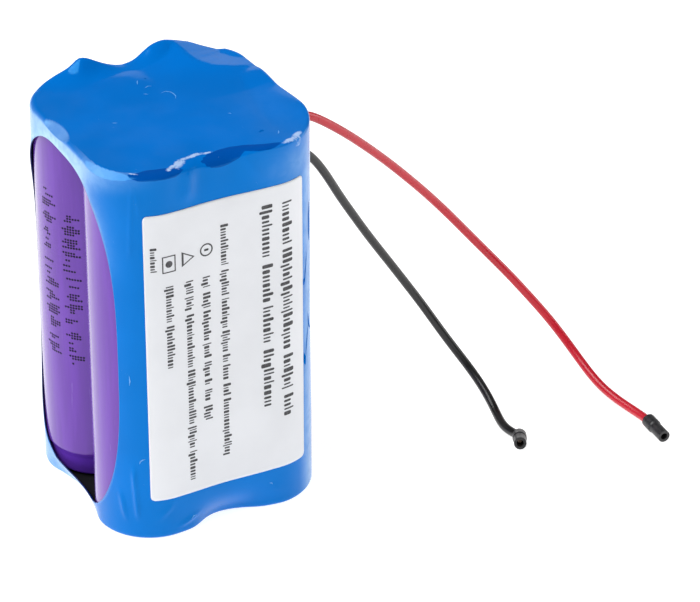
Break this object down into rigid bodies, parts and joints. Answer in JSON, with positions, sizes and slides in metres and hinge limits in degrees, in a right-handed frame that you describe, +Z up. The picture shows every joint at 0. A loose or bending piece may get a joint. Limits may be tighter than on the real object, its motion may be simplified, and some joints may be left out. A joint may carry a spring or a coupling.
{
  "type": "battery pack",
  "caption": "Rechargeable battery pack: round cells in a blue open-ended shrink sleeve with a white label, and a red and a black flying lead with insulated ends.",
  "frame": {"origin": "centre of the base, on the surface that the pack stands on", "axes": "+Z up along the cells, -Y out of the labelled face, +X out of the end where the leads leave"},
  "size_m": [0.0954, 0.052, 0.069],
  "materials": {
    "blue_film": "glossy shrunk PVC film",
    "label_paper": "satin printed vinyl",
    "black_sheet": "matt fibre sheet",
    "cell_steel": "nickel-plated drawn steel",
    "cell_wrap": "satin shrunk PVC wrap",
    "cap_steel": "bright plated steel",
    "black_seal": "moulded seal",
    "white_paper": "die-cut paper washer",
    "electrode_roll": "wound foil with dark coating",
    "nickel": "rolled nickel strip",
    "board_green": "solder-masked glass fibre board",
    "grey_paper": "insulating paper",
    "chip_black": "moulded package",
    "ceramic_tan": "chip capacitor body",
    "solder": "reflowed solder",
    "amber_tape": "polyimide tape",
    "red_insulation": "smooth PVC insulation",
    "black_insulation": "smooth PVC insulation",
    "tinned_copper": "tinned stranded copper",
    "black_tube": "shrunk tubing",
    "bond_foam": "bonding pad"
  },
  "bodies": {
    "root": {"shrink_sleeve": "blue_film", "label": "label_paper", "top_insulator": "black_sheet", "bottom_insulator": "black_sheet", "cell_1_can": "cell_steel", "cell_1_wrap": "cell_wrap", "cell_1_cap": "cap_steel", "cell_1_gasket": "black_seal", "cell_1_ring": "white_paper", "cell_1_winding": "electrode_roll", "cell_2_can": "cell_steel", "cell_2_wrap": "cell_wrap", "cell_2_cap": "cap_steel", "cell_2_gasket": "black_seal", "cell_2_ring": "white_paper", "cell_2_winding": "electrode_roll", "cell_3_can": "cell_steel", "cell_3_wrap": "cell_wrap", "cell_3_cap": "cap_steel", "cell_3_gasket": "black_seal", "cell_3_ring": "white_paper", "cell_3_winding": "electrode_roll", "cell_4_can": "cell_steel", "cell_4_wrap": "cell_wrap", "cell_4_cap": "cap_steel", "cell_4_gasket": "black_seal", "cell_4_ring": "white_paper", "cell_4_winding": "electrode_roll", "bottom_link_front": "nickel", "bottom_link_back": "nickel", "top_link": "nickel", "tab_negative": "nickel", "tab_positive": "nickel", "protection_board": "board_green", "board_paper": "grey_paper", "controller_chip": "chip_black", "power_switches": "chip_black", "small_parts": "ceramic_tan", "solder_joints": "solder", "board_tape": "amber_tape", "bond_pad_front": "bond_foam", "bond_pad_back": "bond_foam", "bond_pad_left": "bond_foam", "bond_pad_right": "bond_foam", "red_lead": "red_insulation", "black_lead": "black_insulation", "red_conductor": "tinned_copper", "black_conductor": "tinned_copper", "red_end_sleeve": "black_tube", "black_end_sleeve": "black_tube"}
  },
  "joints": []
}
